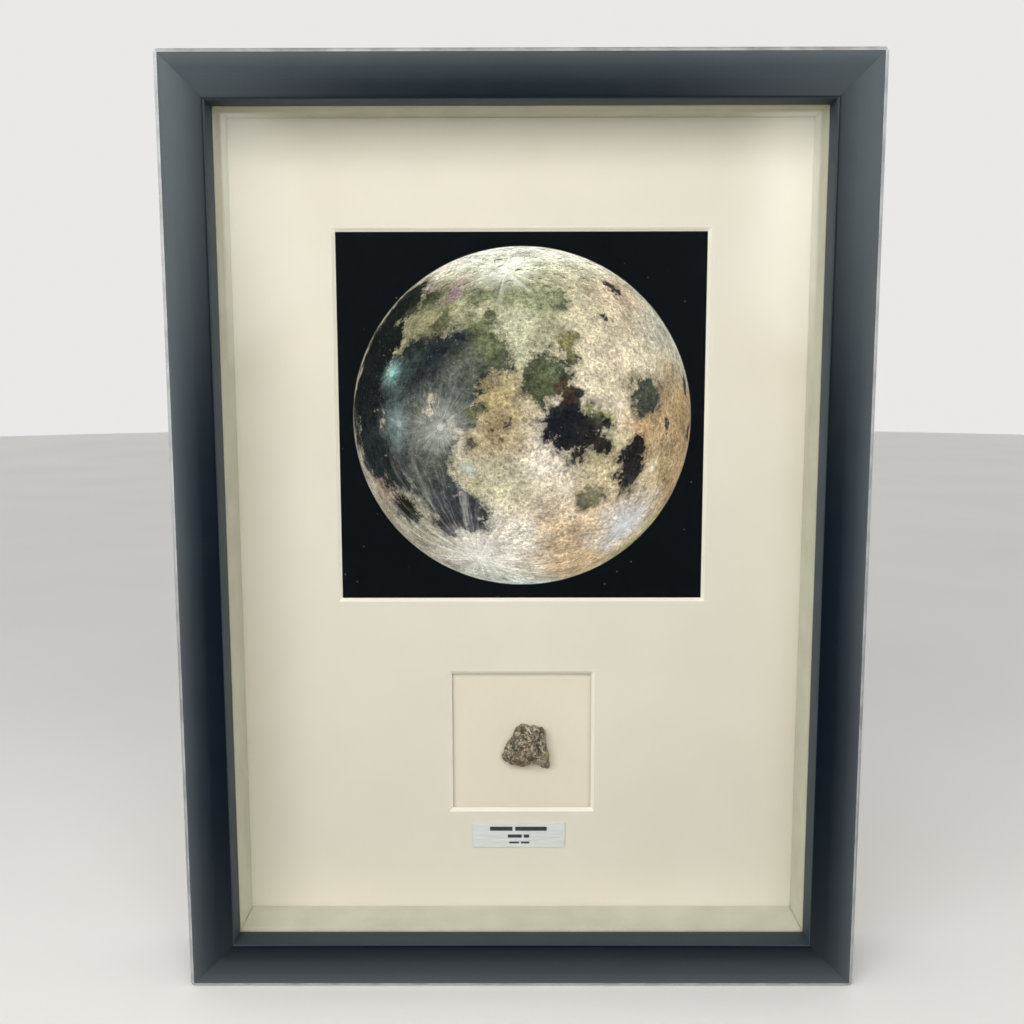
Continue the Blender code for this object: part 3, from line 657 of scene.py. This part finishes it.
# Plain bars on the plate: across, half length, rise and half height, in millimetres from the plate's middle
INK_SOFTNESS = 0.1
PLATE_BARS = (
    (-7.6, 5.0, 3.0, 0.95),
    (5.6, 7.0, 3.0, 0.95),
    (-1.6, 3.1, -0.4, 0.75),
    (3.6, 1.2, -0.4, 0.75),
    (-1.9, 2.2, -3.4, 0.45),
    (3.0, 1.9, -3.4, 0.45),
)


def brushed_plate():
    """Aluminium sheet, brushed lengthways and left bare, with plain printed bars in place of words."""
    material, tree, shader, place = start_finish("brushed aluminium plate")
    middle = sum(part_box("label_plate"), Vector()) / 2
    centred = add(tree, "VectorMath", [place, middle], SUBTRACT)
    # Brush strokes run 12 mm along the plate. They are drawn 0.25 mm apart, wider than the real ones.
    stretched = add(tree, "Mapping", {
        "Vector": centred, "Scale": (per_mm(12.0), per_mm(1.0), per_mm(0.25)),
    })
    strokes = add(tree, "TexNoise", {"Vector": stretched, "Scale": 1.0, "Detail": 5.0, "Roughness": 0.7})
    metal = add(tree, "ValToRGB", [strokes], {"stops": [(0.34, "#d5dcdc"), (0.66, "#f6faf8")]})
    axes = add(tree, "SeparateXYZ", [centred])
    ink = None
    for across, half_length, rise, half_height in PLATE_BARS:
        bar = None
        for axis, centre, half in (("X", across, half_length), ("Z", rise, half_height)):
            shifted = add(tree, "Math", [(axes, axis), centre * MM], SUBTRACT)
            off = add(tree, "Math", [shifted], ABSOLUTE)
            within = add(tree, "MapRange", {
                "Value": off, "From Min": (half + INK_SOFTNESS) * MM,
                "From Max": (half - INK_SOFTNESS) * MM,
            })
            bar = within if bar is None else add(tree, "Math", [bar, within], MULTIPLY)
        ink = bar if ink is None else add(tree, "Math", [ink, bar], MAXIMUM)
    inked = add(tree, "MixRGB", [ink, metal, "#3a3f42"])
    bare = add(tree, "Math", [1.0, ink], SUBTRACT)
    metallic = add(tree, "Math", [bare, 0.1], MULTIPLY)
    gloss = add(tree, "MapRange", {"Value": strokes, "To Min": 0.30, "To Max": 0.55})
    relief = add(tree, "Bump", {"Height": strokes, "Distance": 0.01 * MM})
    connect(tree, shader, {"Base Color": inked, "Metallic": metallic, "Roughness": gloss, "Normal": relief})
    return material


def hardboard():
    """Pressed wood fibre board, smooth side out: dense brown fibre with darker flecks."""
    material, tree, shader, place = start_finish("pressed hardboard")
    clouds = add(tree, "TexNoise", {"Vector": place, "Scale": per_mm(22.0), "Detail": 6.0})
    flecks = add(tree, "TexNoise", {
        "Vector": place, "Scale": per_mm(1.4), "Detail": 5.0, "Distortion": 1.5,
    })
    mixed = add(tree, "MixRGB", [0.6, clouds, flecks])
    fibre = add(tree, "ValToRGB", [mixed], {"stops": [
        (0.32, "#5b3d25"), (0.5, "#7a5535"), (0.68, "#946d47"),
    ]})
    gloss = add(tree, "MapRange", {"Value": clouds, "To Min": 0.55, "To Max": 0.75})
    connect(tree, shader, {"Base Color": fibre, "Roughness": gloss})
    roughen(tree, shader, place, 1.0, 0.03)
    return material


def rolled_steel(name, light, dark, size_mm, rough_low, rough_high):
    """Steel strip, rolled and stamped: fine rolling marks, under the mottle of its plating or bluing."""
    material, tree, shader, place = start_finish(name)
    mottle = add(tree, "TexVoronoi", {"Vector": place, "Scale": per_mm(size_mm)})
    marks = add(tree, "TexNoise", {"Vector": place, "Scale": per_mm(0.6), "Detail": 4.0, "Roughness": 0.7})
    mixed = add(tree, "MixRGB", [0.5, (mottle, "Color"), marks])
    metal = add(tree, "ValToRGB", [mixed], {"stops": [(0.25, dark), (0.75, light)]})
    gloss = add(tree, "MapRange", {"Value": marks, "To Min": rough_low, "To Max": rough_high})
    connect(tree, shader, {"Base Color": metal, "Metallic": 1.0, "Roughness": gloss})
    roughen(tree, shader, place, 0.6, 0.006)
    return material


def arc(middle, radius, first, last, steps):
    """Points round an arc, as (inward, depth), with turns in degrees from straight in."""
    points = []
    for step in range(steps + 1):
        turn = math.radians(first + (last - first) * step / steps)
        points.append((middle[0] + radius * math.cos(turn), middle[1] + radius * math.sin(turn)))
    return points


def face_fall_at(inward):
    """How far the domed face lies behind its crown at a distance in from the outer edge."""
    span = CROWN_FROM_EDGE - SILVER_EDGE if inward < CROWN_FROM_EDGE else FACE_WIDTH
    return FACE_FALL * ((CROWN_FROM_EDGE - inward) / span) ** 2


def moulding_section():
    """The moulding's section, from the back round, as (in from the outer edge, behind the front)."""
    depth = BACK - FRONT
    edge = face_fall_at(SILVER_EDGE)
    ease = 0.35 * MM
    points = [(BACK_ARRIS, depth), (0.0, depth - BACK_ARRIS)]
    # The silver edge is a narrow bevel with eased arrises.
    points += [(0.0, edge + SILVER_EDGE + ease), (0.08 * MM, edge + SILVER_EDGE - ease * 0.3)]
    points.append((SILVER_EDGE * 0.5, edge + SILVER_EDGE * 0.5 - 0.08 * MM))
    points.append((SILVER_EDGE - ease * 0.5, edge + 0.12 * MM))
    steps = 26
    last = FACE_WIDTH - INNER_ARRIS
    for step in range(1, steps + 1):
        inward = SILVER_EDGE + (last - SILVER_EDGE) * step / steps
        points.append((inward, face_fall_at(inward)))
    front = face_fall_at(last)
    points += arc((last, front + INNER_ARRIS), INNER_ARRIS, -90.0, 0.0, 6)[1:]
    rabbet = FACE_WIDTH - RABBET_WIDTH
    chamfer = 0.2 * MM
    points += [(FACE_WIDTH, LIP_THICKNESS - chamfer), (FACE_WIDTH - chamfer, LIP_THICKNESS)]
    points += [(rabbet, LIP_THICKNESS), (rabbet, depth - BACK_ARRIS), (rabbet - BACK_ARRIS, depth)]
    return points


def rounded_corner(across, rise):
    """Moves a point of the moulding in to the frame's slightly rounded corners."""
    from_side = HALF_WIDTH - abs(across)
    from_end = HALF_HEIGHT - abs(rise)
    ring = min(from_side, from_end)
    if max(from_side, from_end) >= CORNER_RADIUS:
        return across, rise
    away = Vector((CORNER_RADIUS - from_side, CORNER_RADIUS - from_end))
    if away.length > 0.0:
        away = away.normalized() * (CORNER_RADIUS - ring)
    new_across = HALF_WIDTH - CORNER_RADIUS + away.x
    new_rise = HALF_HEIGHT - CORNER_RADIUS + away.y
    return math.copysign(new_across, across), math.copysign(new_rise, rise)


def make_rail(name, along_x, side, finish):
    """One mitred length of moulding, on the side of the frame that the sign gives."""
    half = HALF_WIDTH if along_x else HALF_HEIGHT
    reach = HALF_HEIGHT if along_x else HALF_WIDTH
    section = moulding_section()
    from_end = [place * MM for place in RING_PLACES_MM]
    bm = bmesh.new()
    rings = []
    for end in (-1.0, 1.0):
        for back_from_end in from_end if end < 0 else reversed(from_end):
            ring = []
            for inward, depth in section:
                along = end * (half - inward - MITRE_GAP / 2 * math.sqrt(2.0) - back_from_end)
                out = side * (reach - inward)
                across, rise = (along, out) if along_x else (out, along)
                across, rise = rounded_corner(across, rise)
                ring.append(bm.verts.new((across, FRONT + depth, rise + HALF_HEIGHT)))
            rings.append(ring)
    count = len(section)
    for first, second in zip(rings, rings[1:]):
        for index in range(count):
            after = (index + 1) % count
            bm.faces.new((first[index], first[after], second[after], second[index]))
    bm.faces.new(rings[0])
    bm.faces.new(rings[-1])
    bmesh.ops.recalc_face_normals(bm, faces=bm.faces)
    mesh = filled_mesh(name, bm)
    mesh.shade_smooth()
    mesh.set_sharp_from_angle(angle=math.radians(SHARP_ARRIS_DEGREES))
    return place_piece(name, mesh, finish)


def filled_mesh(name, bm):
    mesh = bpy.data.meshes.new(name)
    bm.to_mesh(mesh)
    bm.free()
    return mesh


def place_piece(name, mesh, finish):
    piece = bpy.data.objects.new(name, mesh)
    bpy.context.scene.collection.objects.link(piece)
    piece.data.materials.append(finish)
    return piece


def dress_frame():
    finish = lacquer_with_painted_sheen()
    for end, along_x, side in (
        ("top", True, 1.0),
        ("bottom", True, -1.0),
        ("left", False, -1.0),
        ("right", False, 1.0),
    ):
        rail = make_rail(f"lacquered_rail_{end}", along_x, side, finish)
        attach(rail, "root")
        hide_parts(f"frame_rail_{end}")


def dress_pane():
    """The pane, with its cut edges seamed. Light passes it on its way in, so it throws no shadow."""
    low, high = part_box("glazing")
    bm = bmesh.new()
    bmesh.ops.create_cube(bm, size=1.0)
    bmesh.ops.scale(bm, vec=high - low, verts=bm.verts)
    bmesh.ops.translate(bm, vec=(low + high) / 2, verts=bm.verts)
    bmesh.ops.bevel(bm, geom=bm.edges, offset=PANE_SEAM, segments=2, profile=0.5, affect="EDGES")
    mesh = filled_mesh("picture_glass", bm)
    pane = place_piece("picture_glass", mesh, picture_glass())
    pane.visible_shadow = False
    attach(pane, "root")
    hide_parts("glazing")


# Meteorite, whose marks are placed in millimetres right and up from this middle
STONE_MIDDLE = Vector((1.9 * MM, 0.0, HALF_HEIGHT - 96.2 * MM))
STONE_SUBDIVISIONS = 2
WELD_DISTANCE = 0.001 * MM
FOOT_THICKNESS = 0.05 * MM
# The marks begin this far in front of the foot, and are full after this stretch.
MARKS_START = 3.0 * MM
MARKS_FADE = 2.0 * MM
# Pits: how far apart and how deep they are in millimetres, and their radius as a share of the spacing
PIT_SPACING = 1.3
PIT_DEPTH = 0.16
PIT_REACH = 0.35
# How far the vein stands and how deep the hollows go, in millimetres
VEIN_STAND = 0.10
HOLLOW_DEPTH = 0.25
# Size of the lumps and how far they stand, in millimetres
STONE_ROUGHNESS = ((1.9, 0.40), (0.9, 0.26), (0.42, 0.11))
# Half width of a vein and the points on its way
STONE_VEINS = (
    (0.20, ((0.2, 9.2), (1.2, 8.6), (2.5, 7.0))),
    (0.18, ((1.6, 9.3), (1.2, 8.6))),
    (0.16, ((3.8, 8.9), (4.5, 8.5))),
)
# Half width of a hollow, its strength and the points on its way. Along a hollow the surface dips and is
# painted darker, as painted shade.
STONE_HOLLOWS = (
    (0.7, 0.55, ((6.7, 5.3), (5.4, 2.6), (5.5, 0.4), (6.4, -2.0))),
    (0.45, 0.65, ((-0.6, 4.7), (-0.4, 4.6))),
    (0.45, 0.60, ((-6.2, 3.3), (-5.7, 3.1))),
    (0.35, 0.55, ((-2.8, 5.8), (-2.4, 5.7))),
    (0.35, 0.50, ((-1.6, 3.6), (-1.3, 3.4))),
    (0.5, 0.45, ((-5.9, 0.6), (-4.2, -2.3))),
    (0.5, 0.45, ((2.6, -3.0), (3.2, -4.6))),
)
# Right, up and half width of a patch, and what it does to the red, green and blue of the rock. The first
# patch, along the lower edge, is painted shade.
STONE_TINTS = (
    (-3.0, -9.0, 4.2, (0.74, 0.71, 0.65)),
    (-8.6, -4.6, 2.8, (0.74, 0.86, 0.70)),
    (-3.0, -5.2, 2.8, (0.96, 0.82, 0.70)),
    (9.3, -2.5, 2.4, (1.02, 1.05, 0.86)),
    (9.6, -8.6, 2.2, (0.74, 0.76, 0.66)),
    (1.2, 0.4, 3.6, (1.16, 1.02, 0.96)),
    (-1.8, 7.6, 2.8, (0.92, 0.96, 0.84)),
    (6.8, 7.2, 2.4, (0.82, 0.80, 0.76)),
    (0.5, -6.0, 2.4, (0.90, 0.84, 0.72)),
)


def distance_to_path(right, up, path):
    """How far it is from a point to the nearest place on a path of straight stretches."""
    nearest = math.inf
    for (x0, z0), (x1, z1) in zip(path, path[1:]):
        along = Vector((x1 - x0, z1 - z0))
        share = Vector((right - x0, up - z0)).dot(along) / along.length_squared
        share = min(1.0, max(0.0, share))
        nearest = min(nearest, math.hypot(right - x0 - share * along.x, up - z0 - share * along.y))
    return nearest


def make_stone(name, finish):
    """The meteorite's solid, divided finely and broken up with grit, pits and its pale vein."""
    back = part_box("meteorite")[1].y
    bm = bmesh.new()
    bm.from_mesh(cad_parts["meteorite"].data)
    bmesh.ops.remove_doubles(bm, verts=bm.verts, dist=WELD_DISTANCE)
    stone = place_piece(name, filled_mesh(name, bm), finish)
    finer = stone.modifiers.new("finer", "SUBSURF")
    finer.levels = finer.render_levels = STONE_SUBDIVISIONS
    graph = bpy.context.evaluated_depsgraph_get()
    fine_mesh = bpy.data.meshes.new_from_object(stone.evaluated_get(graph))
    stone.modifiers.clear()
    stone.data = fine_mesh

    vein = fine_mesh.attributes.new("vein", "FLOAT", "POINT")
    hollow = fine_mesh.attributes.new("hollow", "FLOAT", "POINT")
    tint = fine_mesh.attributes.new("tint", "FLOAT_COLOR", "POINT")
    normals = [vertex.normal.copy() for vertex in fine_mesh.vertices]
    for vertex, normal in zip(fine_mesh.vertices, normals):
        local = (vertex.co - STONE_MIDDLE) / MM
        right, up = local.x, local.z
        height = 0.0
        for size, stand in STONE_ROUGHNESS:
            height += stand * noise.noise(vertex.co / (size * MM), noise_basis="PERLIN_NEW")
        from_pit = noise.voronoi(vertex.co / (PIT_SPACING * MM))[0][0]
        height -= PIT_DEPTH * max(0.0, 1.0 - from_pit / PIT_REACH)
        in_front = min(1.0, max(0.0, (back - MARKS_START - vertex.co.y) / MARKS_FADE))
        vein_here = 0.0
        for half_width, path in STONE_VEINS:
            across = distance_to_path(right, up, path) / half_width
            vein_here = max(vein_here, math.exp(-(across**4)))
        hollow_here = 0.0
        for half_width, strength, path in STONE_HOLLOWS:
            across = distance_to_path(right, up, path) / half_width
            hollow_here = max(hollow_here, strength * math.exp(-(across**2)))
        height += (VEIN_STAND * vein_here - HOLLOW_DEPTH * hollow_here) * in_front
        if vertex.co.y < back - FOOT_THICKNESS:
            vertex.co += normal * height * MM
            vertex.co.y = min(vertex.co.y, back)
        shade = Vector((1.0, 1.0, 1.0))
        for middle_right, middle_up, half_width, patch in STONE_TINTS:
            spread = ((right - middle_right) ** 2 + (up - middle_up) ** 2) / half_width**2
            shade = shade.lerp(Vector(patch), math.exp(-spread) * in_front)
        vein.data[vertex.index].value = vein_here * in_front
        hollow.data[vertex.index].value = hollow_here * in_front
        tint.data[vertex.index].color = (*shade, 1.0)
    fine_mesh.update()
    fine_mesh.shade_smooth()
    return stone


def dress_stone():
    stone = make_stone("meteorite_breccia", broken_breccia())
    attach(stone, "root")
    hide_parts("meteorite")


def finish_node(name, finish):
    """Gives a CAD node its finish."""
    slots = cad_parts[name].material_slots
    for slot in slots:
        slot.material = finish


def dress_nodes():
    foam = cut_foam_board()
    for side in ("top", "bottom", "left", "right"):
        finish_node(f"spacer_{side}", foam)
    finish_node("mat_board", paper_face("cream mat board", "#ebe6d9", "#e3decf", "#faf6e8"))
    finish_node("mount_card", paper_face("cream mounting card", "#efe8d7", "#e5decb", "#f7f2e2"))
    finish_node("moon_print", moon_photo_print())
    finish_node("label_plate", brushed_plate())
    finish_node("backing_board", hardboard())
    blued = rolled_steel("blued spring steel", "#7d848c", "#4c525a", 6.0, 0.28, 0.42)
    for number in range(1, 9):
        finish_node(f"backing_tab_{number}", blued)
    finish_node("sawtooth_hanger", rolled_steel("zinc plated steel", "#c9cbcc", "#a3a6a8", 3.0, 0.24, 0.38))


def add_camera():
    tilt, yaw, roll = (math.radians(turn) for turn in (CAMERA_TILT, CAMERA_YAW, CAMERA_ROLL))
    forward = Vector((math.sin(yaw) * math.cos(tilt), math.cos(yaw) * math.cos(tilt), -math.sin(tilt)))
    right = Vector((math.cos(yaw), -math.sin(yaw), 0.0))
    up = right.cross(forward)
    rolled_right = right * math.cos(roll) + up * math.sin(roll)
    rolled_up = up * math.cos(roll) - right * math.sin(roll)
    lens = bpy.data.cameras.new("photo camera")
    lens.sensor_width = SENSOR_WIDTH_MM
    lens.lens = CAMERA_FOCAL_PIXELS / PICTURE_PIXELS * SENSOR_WIDTH_MM
    lens.clip_start = NEAREST_SEEN
    camera = bpy.data.objects.new("photo camera", lens)
    bpy.context.scene.collection.objects.link(camera)
    turn = Matrix((rolled_right, rolled_up, -forward)).transposed().to_4x4()
    camera.matrix_world = Matrix.Translation(CAMERA_PLACE) @ turn
    bpy.context.scene.camera = camera


def studio_floor():
    """A pale matte table top, plain and round."""
    material, tree, shader, place = start_finish("pale studio floor")
    clouds = add(tree, "TexNoise", {"Vector": place, "Scale": per_mm(300.0), "Detail": 3.0})
    pale = add(tree, "ValToRGB", [clouds], {"stops": [(0.3, "#efeeeb"), (0.7, "#f4f3f1")]})
    connect(tree, shader, {"Base Color": pale, "Roughness": 0.8, "Specular IOR Level": 0.2})
    bm = bmesh.new()
    bmesh.ops.create_circle(bm, cap_ends=True, segments=96, radius=FLOOR_RADIUS)
    floor = place_piece("studio_floor", filled_mesh("studio_floor", bm), material)
    floor.location.z = -FLOOR_DROP
    # The floor is only seen, so that it throws no light up into the frame.
    floor.visible_diffuse = floor.visible_glossy = floor.visible_transmission = False


def bright_place(tree, directions, edges):
    """One inside all of these edges, fading to nought across each of them."""
    inside = None
    for direction, dim_at, bright_at in edges:
        edge = add(tree, "MapRange", {
            "Value": directions[direction], "From Min": dim_at, "From Max": bright_at,
        }, SMOOTH)
        inside = edge if inside is None else add(tree, "Math", [inside, edge], MULTIPLY)
    return inside


def soft_studio():
    """Even light from all round and a large softbox above the camera, in front of a plain pale backdrop."""
    scene = bpy.context.scene
    scene.view_settings.view_transform = "Standard"
    world = bpy.data.worlds.new("soft studio")
    scene.world = world
    world.use_nodes = True
    tree = world.node_tree
    place = add(tree, "TexCoord")
    heading = add(tree, "SeparateXYZ", [(place, "Generated")])
    up = (heading, "Z")
    aside = add(tree, "Math", [(heading, "X")], ABSOLUTE)
    directions = {"up": up, "aside": aside}
    rising = add(tree, "MapRange", {
        "Value": up, "From Min": -0.7, "From Max": 0.4, "To Min": 0.08, "To Max": 0.41,
    }, SMOOTH)
    ceiling = add(tree, "MapRange", {
        "Value": up, "From Min": 0.55, "From Max": 0.8, "To Min": 1.0, "To Max": 0.3,
    }, SMOOTH)
    ambient = add(tree, "Math", [rising, ceiling], MULTIPLY)
    # Light walls on both sides of the room, with a window in each a little above the camera
    nearer = add(tree, "MapRange", {
        "Value": (heading, "X"), "From Min": -0.4, "From Max": 0.4, "To Min": 1.0,
        "To Max": RIGHT_SIDE_SHARE,
    })
    upward = add(tree, "MapRange", {
        "Value": up, "From Min": -0.4, "From Max": 0.0, "To Min": 0.12, "To Max": WALL_BRIGHTNESS,
    }, SMOOTH)
    wide = add(tree, "MapRange", {"Value": aside, "From Min": 0.42, "From Max": 0.65}, SMOOTH)
    wall = add(tree, "Math", [upward, wide], MULTIPLY)
    opening = bright_place(tree, directions, WINDOW_EDGES)
    window = add(tree, "Math", [opening, WINDOW_BRIGHTNESS], MULTIPLY)
    table = add(tree, "MapRange", {
        "Value": up, "From Min": -0.40, "From Max": -0.52, "To Max": TABLE_BRIGHTNESS,
    }, SMOOTH)
    # High up towards the corners of the room it is bright as well.
    corner = bright_place(tree, directions, CORNER_EDGES)
    corner_light = add(tree, "Math", [corner, CORNER_BRIGHTNESS], MULTIPLY)
    # The corners and the lit table top show only in the lacquer, and throw no light through the pane.
    path = add(tree, "LightPath")
    shown = add(tree, "Math", [table, corner_light], ADD)
    mirrored = add(tree, "Math", [
        (path, "Is Glossy Ray"), (path, "Is Transmission Ray"),
    ], {"operation": "SUBTRACT", "use_clamp": True})
    sheen = add(tree, "Math", [shown, mirrored], MULTIPLY)
    both = add(tree, "Math", [wall, window], ADD)
    sides = add(tree, "Math", [both, nearer], MULTIPLY)
    lights = add(tree, "Math", [sides, sheen], ADD)
    room = add(tree, "Math", [ambient, lights], ADD)
    # The middle of the room behind the camera is dark, and wider low down, so that the glass stays clear.
    dark_width = add(tree, "MapRange", {
        "Value": up, "From Min": -0.12, "From Max": 0.06, "To Min": 0.38, "To Max": 0.155,
    }, SMOOTH)
    clear_of_it = add(tree, "Math", [aside, dark_width], SUBTRACT)
    beside = add(tree, "MapRange", {"Value": clear_of_it, "From Min": 0.0, "From Max": 0.06}, SMOOTH)
    above = add(tree, "MapRange", {"Value": up, "From Min": 0.12, "From Max": 0.30}, SMOOTH)
    behind = add(tree, "MapRange", {"Value": (heading, "Y"), "From Min": -0.3, "From Max": 0.1}, SMOOTH)
    below = add(tree, "MapRange", {"Value": up, "From Min": -0.40, "From Max": -0.50}, SMOOTH)
    open_ends = add(tree, "Math", [above, below], MAXIMUM)
    open_sides = add(tree, "Math", [beside, open_ends], MAXIMUM)
    lift = add(tree, "Math", [open_sides, behind], MAXIMUM)
    lit = add(tree, "Math", [room, lift], MULTIPLY)
    seen = add(tree, "Mix", {0: (path, "Is Camera Ray"), 2: lit, 3: BACKDROP_BRIGHTNESS})
    connect(tree, tree.nodes["Background"], {"Color": "#fffefc", "Strength": seen})

    softbox = bpy.data.lights.new("softbox", "AREA")
    softbox.shape = "RECTANGLE"
    softbox.size, softbox.size_y = SOFTBOX_SIZE
    softbox.energy = SOFTBOX_WATTS
    softbox.color = colour("#fffdf9")[:3]
    lamp = bpy.data.objects.new("softbox", softbox)
    scene.collection.objects.link(lamp)
    lamp.location = SOFTBOX_PLACE
    lamp.visible_camera = lamp.visible_glossy = lamp.visible_transmission = False
    lamp.rotation_euler = (SOFTBOX_AIM - SOFTBOX_PLACE).to_track_quat("-Z", "Y").to_euler()


add_camera()
dress_frame()
dress_pane()
dress_stone()
dress_nodes()
studio_floor()
soft_studio()
